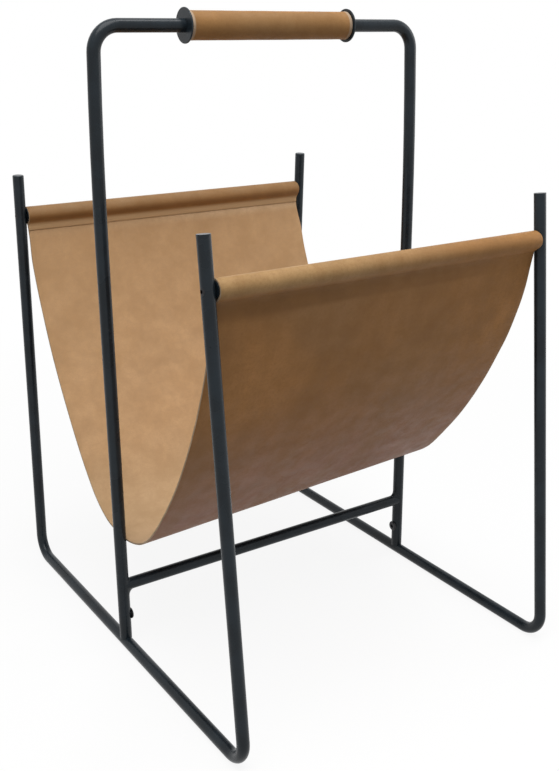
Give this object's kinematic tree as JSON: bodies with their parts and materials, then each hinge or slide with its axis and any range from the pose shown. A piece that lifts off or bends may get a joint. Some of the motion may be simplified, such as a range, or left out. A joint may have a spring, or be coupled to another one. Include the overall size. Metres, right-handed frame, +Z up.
{
  "type": "magazine rack",
  "caption": "Free-standing magazine rack: bent steel rod side frames, a leather sling hung on cross rods, and a hoop handle with a turning leather-covered grip.",
  "frame": {"origin": "on the floor, below the middle of the hoop, at the centre of the footprint", "axes": "+X along the sling rods and the handle bar to the right, +Y to the back along the floor rails, +Z up"},
  "size_m": [0.2894, 0.3721, 0.4856],
  "materials": {
    "black_steel": "satin black powder coat",
    "screw_steel": "blackened screws",
    "sling_leather": "tan full-grain leather, matt",
    "grip_leather": "tan leather, smooth",
    "core_wood": "turned, unfinished"
  },
  "bodies": {
    "rack": {"side_frame_left": "black_steel", "side_frame_right": "black_steel", "hoop": "black_steel", "stretcher": "black_steel", "spigot_left": "black_steel", "spigot_right": "black_steel", "hoop_screw_left": "screw_steel", "hoop_screw_right": "screw_steel", "grip_disc_left": "black_steel", "grip_disc_right": "black_steel", "sling": "sling_leather", "sling_rod_front": "black_steel", "sling_rod_back": "black_steel", "rod_plug_front_left": "black_steel", "rod_plug_front_right": "black_steel", "rod_plug_back_left": "black_steel", "rod_plug_back_right": "black_steel", "rod_screw_front_left": "screw_steel", "rod_screw_front_right": "screw_steel", "rod_screw_back_left": "screw_steel", "rod_screw_back_right": "screw_steel"},
    "grip": {"grip_core": "core_wood", "grip_leather": "grip_leather"}
  },
  "joints": [
    {"name": "grip_spin", "type": "hinge", "parent": "rack", "child": "grip", "pos_m": [0.002, 0, 0.47335], "axis": [1, 0, 0], "continuous": true}
  ]
}
